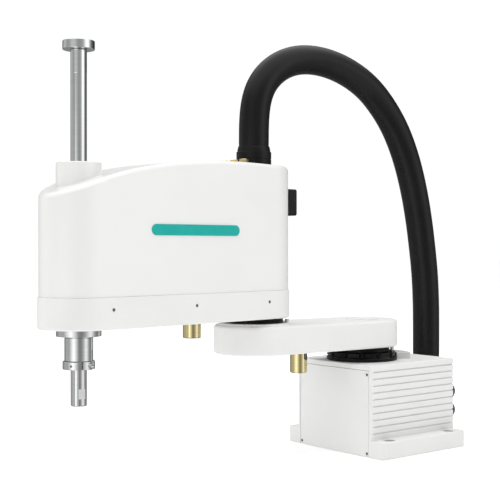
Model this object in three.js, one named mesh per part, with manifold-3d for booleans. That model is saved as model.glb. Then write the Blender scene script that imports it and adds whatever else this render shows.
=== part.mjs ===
// Four-axis SCARA robot arm, 500 mm reach: base, inner arm, outer arm, spline shaft.
// Millimetres, +Z up. Origin: first joint axis where it meets the mounting plane.
// +X points to the front cover of the base, +Y to the finned side on the left of the robot.
import * as THREE from 'three';
import { mergeVertices } from 'three/addons/utils/BufferGeometryUtils.js';
import Module from 'manifold-3d';

const wasm = await Module();
wasm.setup();

// ---------- driving dimensions ----------
const L1 = 200; // first to second joint axis
const L2 = 300; // second joint axis to shaft axis
const Q1 = THREE.MathUtils.degToRad(-4.6); // inner arm angle as stored
const Q2 = THREE.MathUtils.degToRad(9.9); // outer arm angle as stored
const GAP = 0.3; // clearance between touching pieces

const BASE_FRONT = 59.5;
const BASE_REAR = -119.4;
const BASE_HALF = 79.1; // half width of the base body
const PLATE_HALF = 73.1; // half width of the front cover
const BASE_TOP = 131.7;
const LUG_HALF = 102; // half width over the foot lugs
const LUG_TOP = 24;
const LUG_HOLE_X = [33, -95];
const LUG_HOLE_Y = 88.5;
const FIN_TOP = 122.2; // height of the top groove
const FIN_PITCH = 9.84;
const FIN_COUNT = 10;

const FLANGE_R = 53.4; // foot of the reducer ring under the inner arm
const RING_R = 50.2; // reducer ring above its foot
const RING_TOP = 144.4;
const COLLAR1_R = 41.8; // output collar of the first axis
const STOP_TURN = THREE.MathUtils.degToRad(140.9); // side of each axis that its stop screw stands on
const ARM1_BOTTOM = 152.5;
const ARM1_TOP = 192.9;
const PAD_R = 50; // raised pad of the inner arm about the second axis
const PAD_TOP = 195.7;
const ARM1_R1 = 53.3; // end radius at the first axis
const ARM1_R2 = 56.9; // end radius at the second axis
const DISC_R = 41.8; // reducer ring at the second axis

const ARM2_BOTTOM = 202.9;
const ARM2_SEAM = 242.0; // casting to cover seam
const ARM2_R = 50; // outer arm casting end radius
const COVER_R = 48.4;
const COVER_T = 3;
// cover height over the length of the outer arm, [distance from second axis, height]
const COVER_TOP = [
  [-56, 414], [-50, 414.6], [0, 416], [40, 416.7], [71, 416.9], [101, 416.4], [144, 413.8],
  [189, 409.2], [238, 400.8], [265, 394.6], [285, 389], [300, 383.8], [312, 379.3], [325, 374.3], [340, 368.3], [350, 364.2], [358, 360.8],
];
const BOSS_R = 27.6;
const BOSS_TOP = 405.2;

const SHAFT_R = 10;
const SHAFT_BORE = 4.5;
const SHAFT_LOW = 108.5;
const SHAFT_HIGH = 542.5;
const CAP_R = 19.7;
const CAP_HIGH = 553.5;
const COLLAR_R = 19.7;
const COLLAR_LOW = 153.6;
const COLLAR_HIGH = 163.5;
const SLIT_TURN = THREE.MathUtils.degToRad(67); // split of the collar, about the shaft
const FLAT_TURN = THREE.MathUtils.degToRad(79); // locating flat of the shaft
const NUT_R = 17.5;
const NUT_LOW = 163.8;
const NUT_FLANGE_R = 27.6;
const NUT_FLANGE_LOW = 193.7;

const PIN1_R = 12.5; // first axis stop pin
const PIN1_X = 120.7;
const PIN1_LOW = 119.3;
const PIN2_R = 12.25; // second axis stop pin
const PIN2_X = 116.5;
const PIN2_LOW = 180.5;

const HOSE_R = 21.3;
const GLAND_R = 24.7;
const GLAND_TOP = 437.2;
const HOSE_FOOT = [-160.2, -13, 121.3]; // lower end of the conduit hose
const BEND_R = 30; // elbow behind the base
const ELBOW_Z = 70;

// Conduit hose centreline, from the lower gland over the arch to the gland on the outer arm.
const HOSE = [
  [-160.2, -13, 121.3], [-160.3, -13, 155], [-159.9, -13, 207], [-156.9, -13.02, 256],
  [-150.1, -13.1, 305], [-140.5, -13.2, 356], [-127.2, -13.3, 405], [-110.1, -13.4, 449],
  [-87.3, -13.6, 489], [-56.8, -13.9, 524], [-21.6, -14.2, 551], [23.4, -14.6, 569.8],
  [66.7, -14.9, 578], [105, -15.3, 577.6], [135.3, -15.5, 570.3], [160.8, -15.7, 557],
  [182.5, -15.9, 536.3], [194.2, -16, 512], [198.6, -16.04, 484], [199.3, -16.04, 455],
  [199.36, -16.04, 437.5],
];

// ---------- materials ----------
const mat = (color, roughness, metalness) => new THREE.MeshStandardMaterial({ color, roughness, metalness });
const white = mat(0xf0f0ee, 0.45, 0.05);
const whiteCover = mat(0xf3f3f1, 0.4, 0.0);
const black = mat(0x17181a, 0.5, 0.1);
const blackRubber = mat(0x202022, 0.6, 0.0);
const steel = mat(0xb9bcc0, 0.28, 0.95);
const darkSteel = mat(0x4b4d52, 0.4, 0.9);
const brass = mat(0xc9a94e, 0.3, 0.95);
const grey = mat(0xc2c4c6, 0.5, 0.4);
const motorGrey = mat(0x33363b, 0.55, 0.3);
const teal = mat(0x2ba8a0, 0.45, 0.0);

// ---------- helpers ----------
const solid = (g) => {
  const p = g.clone();
  for (const k of Object.keys(p.attributes)) if (k !== 'position') p.deleteAttribute(k);
  const m = mergeVertices(p, 1e-4);
  return new wasm.Manifold(new wasm.Mesh({
    numProp: 3,
    vertProperties: new Float32Array(m.attributes.position.array),
    triVerts: new Uint32Array(m.index.array),
  }));
};
const toGeometry = (m) => {
  const mesh = m.getMesh();
  const g = new THREE.BufferGeometry();
  g.setAttribute('position', new THREE.BufferAttribute(new Float32Array(mesh.vertProperties), mesh.numProp));
  g.setIndex(new THREE.BufferAttribute(new Uint32Array(mesh.triVerts), 1));
  g.computeVertexNormals();
  return g;
};
const box = (x0, x1, y0, y1, z0, z1) =>
  solid(new THREE.BoxGeometry(x1 - x0, y1 - y0, z1 - z0).translate((x0 + x1) / 2, (y0 + y1) / 2, (z0 + z1) / 2));
// vertical cylinder
const cyl = (x, y, r, z0, z1, n = 24) =>
  solid(new THREE.CylinderGeometry(r, r, z1 - z0, n).rotateX(Math.PI / 2).translate(x, y, (z0 + z1) / 2));
// cylinder along X or Y
const cylX = (x0, x1, y, z, r, n = 20) =>
  solid(new THREE.CylinderGeometry(r, r, x1 - x0, n).rotateZ(Math.PI / 2).translate((x0 + x1) / 2, y, z));
const cylY = (x, y0, y1, z, r, n = 20) =>
  solid(new THREE.CylinderGeometry(r, r, y1 - y0, n).translate(x, (y0 + y1) / 2, z));
const prism = (shape, z0, z1, curve = 12) =>
  solid(new THREE.ExtrudeGeometry(shape, { depth: z1 - z0, bevelEnabled: false, curveSegments: curve }).translate(0, 0, z0));
// solid of revolution about Z, profile [r, z] closed on itself or on the axis
const lathe = (profile, n = 24, x = 0, y = 0) =>
  solid(new THREE.LatheGeometry(profile.map(([r, z]) => new THREE.Vector2(r, z)), n).rotateX(Math.PI / 2).translate(x, y, 0));
const ring = (x, y, ro, ri, z0, z1, n = 24) =>
  lathe([[ri, z0], [ro, z0], [ro, z1], [ri, z1], [ri, z0]], n, x, y);
// outline of two circles joined by their outer tangents
const tapered = (xa, ra, xb, rb, n = 20) => {
  const s = new THREE.Shape();
  const d = xb - xa;
  const t = Math.acos((ra - rb) / d); // angle of the tangent points from +X
  const pts = [];
  for (let i = 0; i <= n; i++) {
    const a = -t + (2 * t * i) / n;
    pts.push([xb + rb * Math.cos(a), rb * Math.sin(a)]);
  }
  for (let i = 0; i <= n; i++) {
    const a = t + (2 * (Math.PI - t) * i) / n;
    pts.push([xa + ra * Math.cos(a), ra * Math.sin(a)]);
  }
  pts.forEach(([x, y], i) => (i ? s.lineTo(x, y) : s.moveTo(x, y)));
  s.closePath();
  return s;
};
const roundRect = (x0, x1, y0, y1, r) => {
  const s = new THREE.Shape();
  s.moveTo(x0 + r, y0);
  s.lineTo(x1 - r, y0);
  s.absarc(x1 - r, y0 + r, r, -Math.PI / 2, 0, false);
  s.lineTo(x1, y1 - r);
  s.absarc(x1 - r, y1 - r, r, 0, Math.PI / 2, false);
  s.lineTo(x0 + r, y1);
  s.absarc(x0 + r, y1 - r, r, Math.PI / 2, Math.PI, false);
  s.lineTo(x0, y0 + r);
  s.absarc(x0 + r, y0 + r, r, Math.PI, 1.5 * Math.PI, false);
  s.closePath();
  return s;
};
const put = (group, name, m, material) => {
  const mesh = new THREE.Mesh(toGeometry(m), material);
  mesh.name = name;
  group.add(mesh);
  return mesh;
};

const robot = new THREE.Group();
const base = new THREE.Group();
const arm1 = new THREE.Group();
const arm2 = new THREE.Group();
robot.add(base, arm1);
arm1.rotation.z = Q1;
arm1.add(arm2);
arm2.position.set(L1, 0, 0);
arm2.rotation.z = Q2;

// ---------- base ----------
{
  let body = prism(roundRect(BASE_REAR, BASE_FRONT, -BASE_HALF, BASE_HALF, 1.8), 0, BASE_TOP, 3);
  body = body.add(prism(roundRect(BASE_REAR, BASE_FRONT, -LUG_HALF, LUG_HALF, 4), 0, LUG_TOP, 4));
  // through cavity from the front cover to the rear panel
  body = body.subtract(box(BASE_REAR - 5, BASE_FRONT + 5, -68, 68, 10, 118));
  // recess of the front cover, open at the foot
  body = body.subtract(box(BASE_FRONT - 3 - GAP, BASE_FRONT + 5, -PLATE_HALF - GAP, PLATE_HALF + GAP, -1, 124.3));
  // recess of the rear panel
  body = body.subtract(box(BASE_REAR - 5, BASE_REAR + 3 + GAP, -73, 73, 5.7, 122.3));
  // bore for the reducer
  body = body.subtract(cyl(0, 0, 40, 110, BASE_TOP + 5, 28));
  // cooling grooves on both sides
  for (let i = 0; i < FIN_COUNT; i++) {
    const z = FIN_TOP - FIN_PITCH * i;
    for (const s of [-1, 1]) {
      const y = s * BASE_HALF;
      body = body.subtract(box(BASE_REAR - 5, BASE_FRONT - 4.2, Math.min(y - 2 * s, y + 3 * s), Math.max(y - 2 * s, y + 3 * s), z - 0.9, z + 0.9));
    }
  }
  // counterbored mounting holes
  for (const x of LUG_HOLE_X) for (const s of [-1, 1]) {
    body = body.subtract(cyl(x, s * LUG_HOLE_Y, 4.6, -1, LUG_TOP + 1, 12));
    body = body.subtract(cyl(x, s * LUG_HOLE_Y, 8.4, LUG_TOP - 6, LUG_TOP + 1, 16));
  }
  put(base, 'base_casting', body, white);
}
{
  let plate = box(BASE_FRONT - 3, BASE_FRONT, -PLATE_HALF, PLATE_HALF, 0.5, 124);
  const spots = [[69.6, 118.4], [-69.6, 118.4], [69.6, 5], [-69.6, 5]];
  spots.forEach(([y, z], i) => {
    plate = plate.subtract(cylX(BASE_FRONT - 2, BASE_FRONT + 1, y, z, 2.2, 14));
    put(base, `front_cover_screw_${i + 1}`, cylX(BASE_FRONT - 1.7, BASE_FRONT - 0.2, y, z, 1.9, 12), darkSteel);
  });
  put(base, 'front_cover', plate, white);
}
{
  let panel = box(BASE_REAR, BASE_REAR + 3, -72.7, 72.7, 6, 122);
  panel = panel.subtract(cylX(BASE_REAR - 1, BASE_REAR + 4, HOSE_FOOT[1], ELBOW_Z, 15, 14));
  put(base, 'rear_panel', panel, white);
  for (const [name, z] of [['rear_signal_connector', 75.9], ['rear_power_connector', 46.7]]) {
    const body = cylX(-151.5, BASE_REAR - GAP, 42.5, z, 13, 18)
      .add(cylX(-126, BASE_REAR - GAP, 42.5, z, 14.5, 18))
      .subtract(cylX(-152.5, -140, 42.5, z, 10, 12));
    put(base, name, body, black);
  }
}
{
  // conduit elbow from the rear panel up to the lower gland
  const x0 = BASE_REAR - GAP;
  const path = new THREE.CurvePath();
  const y = HOSE_FOOT[1];
  const xe = HOSE_FOOT[0];
  const sweep = (r, ext, n) => {
    const pts = [];
    pts.push(new THREE.Vector3(x0 + ext, y, ELBOW_Z));
    for (let i = 0; i <= 6; i++) {
      const a = (Math.PI / 2) * (i / 6);
      pts.push(new THREE.Vector3(xe + BEND_R - BEND_R * Math.sin(a), y, ELBOW_Z + BEND_R - BEND_R * Math.cos(a)));
    }
    pts.push(new THREE.Vector3(xe, y, 104 + ext));
    const curve = new THREE.CatmullRomCurve3(pts, false, 'centripetal');
    const s = new THREE.Shape();
    s.absarc(0, 0, r, 0, 2 * Math.PI, false);
    return solid(new THREE.ExtrudeGeometry(s, { steps: 8, bevelEnabled: false, extrudePath: curve, curveSegments: n }));
  };
  let elbow = sweep(19, 0, 7);
  elbow = elbow.add(cylX(x0 - 5, x0, y, ELBOW_Z, 25, 18));
  elbow = elbow.subtract(sweep(14.5, 3, 5));
  elbow = elbow.subtract(box(x0, x0 + 20, y - 40, y + 40, 20, 120));
  elbow = elbow.subtract(box(xe - 40, xe + 30, y - 40, y + 40, 104, 130));
  put(base, 'conduit_elbow', elbow, black);
  const g = [[15, 104.3], [22, 104.3], [GLAND_R, 106.5], [GLAND_R, 118], [22.6, 121], [15, 121], [15, 104.3]];
  put(base, 'conduit_gland_lower', lathe(g, 22, xe, y), black);
}
{
  const s = new THREE.Shape();
  s.absarc(0, 0, HOSE_R, 0, 2 * Math.PI, false);
  const curve = new THREE.CatmullRomCurve3(HOSE.map((p) => new THREE.Vector3(...p)), false, 'centripetal');
  const g = new THREE.ExtrudeGeometry(s, { steps: 26, bevelEnabled: false, extrudePath: curve, curveSegments: 5 });
  let hose = solid(g);
  hose = hose.subtract(box(-220, -100, -60, 40, 60, 121.3)).subtract(box(140, 260, -70, 40, 400, 437.5));
  put(base, 'conduit_hose', hose, blackRubber);
}
{
  // first axis servo motor under the reducer
  let motor = box(-30, 30, -30, 30, 30, 108);
  motor = motor.add(box(-38, 38, -38, 38, 108, 117.7));
  motor = motor.add(cyl(0, 0, 24, 117, 122, 18));
  motor = motor.subtract(cyl(0, 0, 8, 112, 130, 12));
  put(base, 'j1_motor', motor, motorGrey);
  // reducer ring with a wider foot and scallops for its bolts
  let r = lathe([[30, 126], [39, 126], [39, BASE_TOP + GAP], [FLANGE_R, BASE_TOP + GAP], [FLANGE_R, 136.4], [RING_R, 138.6], [RING_R, RING_TOP], [30, RING_TOP], [30, 126]], 36);
  for (let i = 0; i < 12; i++) {
    const a = ((i + 0.5) / 12) * 2 * Math.PI;
    r = r.subtract(cyl(51.5 * Math.cos(a), 51.5 * Math.sin(a), 4.4, 139, 150, 6));
  }
  put(base, 'j1_reducer_ring', r, black);
  // socket screw standing on the reducer ring beside the output collar
  put(base, 'j1_stop_screw', cyl(45.9 * Math.cos(STOP_TURN), 45.9 * Math.sin(STOP_TURN), 2.7, RING_TOP + GAP, 150.4, 12), steel);
  // raised sector behind the reducer ring
  const sector = new THREE.Shape();
  const a0 = THREE.MathUtils.degToRad(147.5);
  const a1 = THREE.MathUtils.degToRad(212.5);
  sector.absarc(0, 0, 75.6, a0, a1, false);
  sector.absarc(0, 0, 54.6, a1, a0, true);
  sector.closePath();
  put(base, 'base_top_block', prism(sector, BASE_TOP + GAP, 141.5, 10), grey);
}
{
  // wave generator of the first axis, turned by the motor
  const w = lathe([[0, 112.5], [7, 112.5], [7, 133], [25, 133], [25, 146], [0, 146]], 20);
  put(robot, 'j1_wave_generator', w, steel);
}

// ---------- inner arm ----------
{
  let arm = prism(tapered(0, ARM1_R1, L1, ARM1_R2, 16), ARM1_BOTTOM, ARM1_TOP);
  arm = arm.add(cyl(L1, 0, PAD_R, ARM1_TOP - 5, PAD_TOP, 40));
  // weight pocket from below
  arm = arm.subtract(prism(roundRect(60, 103, -38, 38, 8), ARM1_BOTTOM - 1, 182, 3));
  // seat of the second axis reducer
  arm = arm.subtract(cyl(L1, 0, 30.2, 172, PAD_TOP + 1, 24));
  // recess of the cap over the first axis
  arm = arm.subtract(cyl(0, 0, 24.6, 191.4, ARM1_TOP + 1, 24));
  put(arm1, 'arm1_link', arm, white);
  put(arm1, 'arm1_top_cap', cyl(0, 0, 24.1, 191.7, 193.9, 24), white);
}
{
  const f = lathe([[0, 148], [29, 148], [29, RING_TOP + GAP], [COLLAR1_R, RING_TOP + GAP], [COLLAR1_R, ARM1_BOTTOM - GAP], [0, ARM1_BOTTOM - GAP]], 32);
  put(arm1, 'j1_output_flange', f, black);
  put(arm1, 'j1_stop_pin', cyl(PIN1_X, 0, PIN1_R, PIN1_LOW, ARM1_BOTTOM - GAP, 20).subtract(cyl(PIN1_X, 0, 4.6, PIN1_LOW - 1, PIN1_LOW + 6, 6)), brass);
  put(arm1, 'j1_stop_bumper', box(116.3, 118, 13, 15.2, 139, ARM1_BOTTOM - GAP), blackRubber);
  const r2 = lathe([[27.5, 178], [29.6, 178], [29.6, PAD_TOP + GAP], [DISC_R, PAD_TOP + GAP], [DISC_R, 199], [27.5, 199], [27.5, 178]], 28, L1, 0);
  put(arm1, 'j2_reducer_ring', r2, black);
  // socket screw standing on the inner arm beside the second axis
  put(arm1, 'j2_stop_screw', cyl(L1 + 46.9 * Math.cos(STOP_TURN - Q1), 46.9 * Math.sin(STOP_TURN - Q1), 2.7, PAD_TOP + GAP, 200.2, 12), steel);
}

// ---------- outer arm ----------
const stadium = (r, n = 16) => tapered(0, r, L2, r, n);
{
  let c = prism(stadium(ARM2_R), ARM2_BOTTOM, ARM2_SEAM);
  c = c.subtract(prism(stadium(ARM2_R - 5.5), 212, ARM2_SEAM + 1));
  c = c.subtract(cyl(0, 0, 12, 195, 215, 16));
  c = c.subtract(cyl(L2, 0, 18.3, 195, 215, 20));
  const xs = [L2 - 15.8, L2 - 148.7, L2 - 281.6];
  let k = 1;
  for (const s of [1, -1]) for (const x of xs) {
    const y0 = Math.min(s * 46.5, s * 51);
    const y1 = Math.max(s * 46.5, s * 51);
    c = c.subtract(cylY(x, y0, y1, 227, 2.3, 10));
    put(arm2, `cover_screw_${k}`, cylY(x, Math.min(s * 46.8, s * 49.8), Math.max(s * 46.8, s * 49.8), 227, 1.9, 10), darkSteel);
    k += 1;
  }
  put(arm2, 'arm2_casting', c, white);
}
{
  // side profile of the cover, extruded across the arm
  const profile = (drop) => {
    const s = new THREE.Shape();
    s.moveTo(-70, 200);
    s.lineTo(370, 200);
    s.lineTo(370, COVER_TOP[COVER_TOP.length - 1][1] - 5 - drop);
    for (const [x, z] of COVER_TOP.slice().reverse()) s.lineTo(x, z - drop);
    s.lineTo(-70, 414 - drop);
    s.closePath();
    return solid(new THREE.ExtrudeGeometry(s, { depth: 160, bevelEnabled: false }).rotateX(Math.PI / 2).translate(0, 80, 0));
  };
  let outer = prism(stadium(COVER_R, 18), ARM2_SEAM + GAP, 440).intersect(profile(0));
  outer = outer.add(cyl(L2, 0, BOSS_R, 360, BOSS_TOP, 28));
  let inner = prism(stadium(COVER_R - COVER_T, 14), 200, 440).intersect(profile(COVER_T));
  inner = inner.add(cyl(L2, 0, BOSS_R - COVER_T, 340, BOSS_TOP - COVER_T, 20));
  let cover = outer.subtract(inner);
  cover = cover.subtract(cyl(L2, 0, 13, 340, 430, 20));
  cover = cover.subtract(cyl(0, 0, 16, 400, 430, 18));
  for (const y of [-20, 0, 20]) cover = cover.subtract(cyl(39, y, 3.4, 400, 430, 10));
  put(arm2, 'arm2_cover', cover, whiteCover);
}
{
  // gland of the conduit hose
  const g = [[12.5, 406], [15.4, 406], [15.4, 417.2], [GLAND_R, 417.2], [GLAND_R, 436.2], [22.9, 436.6], [22.8, 439.6], [22.1, 444.2], [21.7, 444.2], [21.7, GLAND_TOP], [12.5, GLAND_TOP], [12.5, 406]];
  const body = lathe(g, 24);
  put(arm2, 'conduit_gland_upper', body, black);
  [20, 0, -20].forEach((y, i) => {
    const hex = solid(new THREE.CylinderGeometry(6.7, 6.7, 6.2, 6).rotateX(Math.PI / 2).rotateZ(0.3).translate(39, y, 420.4));
    put(arm2, `air_fitting_${i + 1}`, hex.add(cyl(39, y, 3.1, 408, 419, 10)).subtract(cyl(39, y, 4.2, 422.4, 430, 10)).subtract(cyl(39, y, 1.8, 400, 440, 6)), brass);
  });
  // user connector on the rear of the cover
  let c = prism(roundRect(-72.7, -30, -16, 16, 3), 347.6, 386, 3).subtract(cyl(0, 0, COVER_R + GAP + 0.15, 300, 400, 48));
  put(arm2, 'user_connector', c, black);
  // plain colour bar on the side of the cover
  put(arm2, 'accent_bar', box(75, 225, COVER_R + GAP, COVER_R + 1.1, 317, 331), teal);
}
{
  put(arm2, 'j2_output_flange', ring(0, 0, DISC_R - 0.6, 11.5, 199.3, ARM2_BOTTOM - GAP, 28), black);
  const motor = (x, half, z0, z1, cap) => {
    let m = box(x - half, x + half, -half, half, z0, z1);
    m = m.add(box(x - half + 4, x + half - 4, -half + 4, half - 4, z1 - 1, z1 + cap));
    m = m.add(cyl(x, 0, half - 9, z0 - 2, z0 + 1, 14));
    return m;
  };
  let m2 = box(-27, 27, -27, 27, 212.3, 320).add(box(-24, 24, -24, 24, 319, 345));
  m2 = m2.subtract(cyl(0, 0, 8.5, 200, 222, 16));
  put(arm2, 'j2_motor', m2, motorGrey);
  put(arm2, 'j3_motor', motor(215, 24, 260.5, 330, 24).subtract(cyl(215, 0, 8, 250, 272, 16)), motorGrey);
  put(arm2, 'j4_motor', motor(120, 24, 260.5, 320, 22).subtract(cyl(120, 0, 8, 250, 272, 16)), motorGrey);
  // plate carrying both motors and the ball nut bearing, on four posts
  let b = prism(roundRect(82, 332, -36, 36, 10), 252, 258, 3);
  for (const [x, y] of [[90, 30], [90, -30], [262, 31], [262, -31]]) b = b.add(cyl(x, y, 5, 212.3, 253, 8));
  b = b.subtract(cyl(L2, 0, 21.4, 240, 270, 20));
  b = b.subtract(cyl(215, 0, 16, 240, 270, 16)).subtract(cyl(120, 0, 16, 240, 270, 16));
  put(arm2, 'motor_bracket', b, grey);
  put(arm2, 'ball_nut_bearing', ring(L2, 0, 29, 21.4, 258.3, 268, 20), steel);
  // toothed belts, as plain loops
  const belt = (xa, ra, z0, z1, rb) => {
    const t = 1.6;
    return prism(tapered(xa, ra + t, L2, rb + t, 12), z0, z1).subtract(prism(tapered(xa, ra, L2, rb, 12), z0 - 1, z1 + 1));
  };
  put(arm2, 'j3_belt', belt(215, 14.4, 233, 243, 24.4), blackRubber);
  put(arm2, 'j4_belt', belt(120, 16.4, 217, 227, 26.4), blackRubber);
  put(arm2, 'j2_stop_pin', cyl(PIN2_X, 0, PIN2_R, PIN2_LOW, ARM2_BOTTOM - GAP, 20).subtract(cyl(PIN2_X, 0, 4.6, PIN2_LOW - 1, PIN2_LOW + 6, 6)), brass);
  put(arm2, 'spline_bearing_flange', ring(L2, 0, NUT_FLANGE_R, 18, NUT_FLANGE_LOW, ARM2_BOTTOM - GAP, 28), steel);
}
{
  // pulleys on the two motors
  const pulley = (x, r, z0, z1) => {
    const f = r + 2.4;
    return lathe([[0, z0 - 1.6], [f, z0 - 1.6], [f, z0], [r, z0], [r, z1], [f, z1], [f, z1 + 1.6], [7, z1 + 1.6], [7, 271], [0, 271]], 18, x, 0);
  };
  put(arm2, 'j3_motor_pulley', pulley(215, 14, 232, 244), steel);
  put(arm2, 'j4_motor_pulley', pulley(120, 16, 216, 228), steel);
  put(arm2, 'j2_wave_generator', lathe([[0, 183], [25, 183], [25, 196], [7.6, 196], [7.6, 221], [0, 221]], 20), steel);
  // ball nut with its pulley, on the upper part of the shaft
  const rb = SHAFT_R + 0.4;
  const bn = lathe([[rb, 230.4], [26.6, 230.4], [26.6, 232], [24, 232], [24, 244], [21, 244], [21, 272], [rb, 272], [rb, 230.4]], 24, L2, 0);
  put(arm2, 'ball_nut', bn, steel);
  // spline nut with its pulley
  put(arm2, 'spline_nut', ring(L2, 0, NUT_R, SHAFT_R + 0.4, NUT_LOW, 215.4, 24), steel);
  put(arm2, 'spline_pulley', ring(L2, 0, 26, SHAFT_R + 0.6, 215.7, 228.3, 24), steel);
}

// ---------- spline shaft ----------
{
  const bore = (x) => x.subtract(cyl(L2, 0, SHAFT_BORE, 100, 600, 10));
  let s = cyl(L2, 0, SHAFT_R, SHAFT_LOW, SHAFT_HIGH, 24);
  s = bore(s);
  // locating flat at the tool end
  s = s.subtract(solid(new THREE.BoxGeometry(5, 28, 12).translate(11.5, 0, SHAFT_LOW + 15.2).rotateZ(FLAT_TURN).translate(L2, 0, 0)));
  put(arm2, 'spline_shaft', s, steel);
  put(arm2, 'shaft_top_cap', lathe([[0, 542.8], [CAP_R, 542.8], [CAP_R, CAP_HIGH - 0.8], [CAP_R - 0.8, CAP_HIGH], [0, CAP_HIGH]], 28, L2, 0), steel);
  // split clamp collar: the split faces SLIT_TURN and the screw crosses it
  let c = ring(L2, 0, COLLAR_R, SHAFT_R + 0.3, COLLAR_LOW, COLLAR_HIGH, 28);
  const across = (r, x0, x1, n) =>
    solid(new THREE.CylinderGeometry(r, r, x1 - x0, n).rotateZ(Math.PI / 2).translate((x0 + x1) / 2, 15, 158.5).rotateZ(SLIT_TURN - Math.PI / 2).translate(L2, 0, 0));
  c = c.subtract(solid(new THREE.BoxGeometry(2, 20, 20).translate(0, 15, 160).rotateZ(SLIT_TURN - Math.PI / 2).translate(L2, 0, 0)));
  c = c.subtract(across(3.4, -25, -7.6, 12));
  put(arm2, 'clamp_collar', c, steel);
  put(arm2, 'clamp_screw', across(3, -11.4, -7.9, 12), darkSteel);
}

export default robot;
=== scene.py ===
import math

import bmesh
import bpy
from mathutils import Matrix, Vector


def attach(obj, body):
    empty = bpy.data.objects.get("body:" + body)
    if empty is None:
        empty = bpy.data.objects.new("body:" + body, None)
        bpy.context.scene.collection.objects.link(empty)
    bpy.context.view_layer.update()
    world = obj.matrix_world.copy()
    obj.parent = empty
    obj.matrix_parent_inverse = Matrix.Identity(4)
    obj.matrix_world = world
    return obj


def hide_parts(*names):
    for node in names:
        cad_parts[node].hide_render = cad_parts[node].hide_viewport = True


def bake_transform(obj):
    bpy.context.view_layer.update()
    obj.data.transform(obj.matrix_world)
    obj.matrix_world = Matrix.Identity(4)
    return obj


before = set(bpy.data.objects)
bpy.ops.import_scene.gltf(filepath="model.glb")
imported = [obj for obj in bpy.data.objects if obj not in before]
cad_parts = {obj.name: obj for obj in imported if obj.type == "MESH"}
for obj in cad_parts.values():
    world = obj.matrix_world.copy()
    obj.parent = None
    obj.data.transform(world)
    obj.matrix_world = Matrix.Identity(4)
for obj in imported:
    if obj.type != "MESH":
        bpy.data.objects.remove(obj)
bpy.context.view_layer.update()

scene = bpy.context.scene
MM = 0.001
Q1 = math.radians(-4.6)
Q2 = math.radians(9.9)
BASE = Matrix.Scale(MM, 4)
ARM1 = BASE @ Matrix.Rotation(Q1, 4, "Z")
ARM2 = ARM1 @ Matrix.Translation((200, 0, 0)) @ Matrix.Rotation(Q2, 4, "Z")
TOOL = ARM2 @ Matrix.Translation((300, 0, 0))

# ------------------------------------------------------------------ studio settings
FACING = math.radians(60)
FLOOR_GLOW = 0.22
OVERHEAD = 44.0
ZENITH = 1.9
SOFT = [(-180, 0.535), (-155, 0.326), (-130, 1.467), (-105, 1.589), (-85, 1.019), (-62, 0.693), (-40, 0.839), (-15, 0.839), (15, 0.244), (60, 0.856), (110, 0.937), (150, 1.304), (180, 0.535)]
SHEEN_LOW = [(-180, 0.30), (-168, 0.30), (-150, 0.30), (-134, 0.40), (-117, 0.60), (-103, 0.64), (-91, 0.57), (-80, 0.66), (-70, 0.90), (-60, 1.25), (-51, 1.52), (-42, 1.85), (-34, 1.62), (-26, 1.33), (-18, 1.05),
             (-10, 0.72), (-2, 0.44), (6, 0.33), (18, 0.34), (31, 0.53), (39, 0.74), (48, 1.02), (57, 1.36), (65, 1.34), (76, 0.95), (86, 0.56), (98, 0.32), (110, 0.32), (126, 0.24), (148, 0.22),
             (170, 0.25), (180, 0.30)]
SHEEN_HIGH = [(-180, 0.22), (-168, 0.22), (-152, 0.25), (-141, 0.36), (-123, 0.72), (-110, 0.73), (-98, 0.63), (-88, 0.51), (-76, 0.50), (-61, 0.63), (-53, 0.76), (-45, 0.83), (-27, 0.78), (-15, 0.62),
              (-8, 0.51), (0, 0.45), (13, 0.48), (27, 0.54), (35, 0.70), (42, 1.06), (50, 1.52), (58, 1.9), (66, 1.95), (75, 1.55), (84, 0.93), (94, 0.40), (105, 0.21), (117, 0.09), (131, 0.03), (150, 0.10),
              (168, 0.18), (180, 0.22)]

# ------------------------------------------------------------------ camera
look = Vector((-0.6307, -0.7760, -0.00346)).normalized()
camera_data = bpy.data.cameras.new("camera")
camera_data.lens = 76.97
camera_data.sensor_width = 36.0
camera_data.clip_start = 0.05
camera_data.clip_end = 60.0
camera = bpy.data.objects.new("camera", camera_data)
scene.collection.objects.link(camera)
camera.location = (1.1585, 1.1555, 0.3032)
camera.rotation_euler = look.to_track_quat("-Z", "Y").to_euler()
scene.camera = camera


# ------------------------------------------------------------------ mesh helpers
def loft(rings, cap_low=True, cap_high=True, closed=False):
    """Quads between rings of equal count, listed counterclockwise from above and going up."""
    n = len(rings[0])
    verts = [tuple(p) for r in rings for p in r]
    faces = []
    count = len(rings)
    for k in range(count if closed else count - 1):
        a, b = k * n, ((k + 1) % count) * n
        for i in range(n):
            j = (i + 1) % n
            faces.append((a + i, a + j, b + j, b + i))
    if not closed and cap_low:
        faces.append(tuple(reversed(range(n))))
    if not closed and cap_high:
        faces.append(tuple((count - 1) * n + i for i in range(n)))
    return verts, faces


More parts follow.
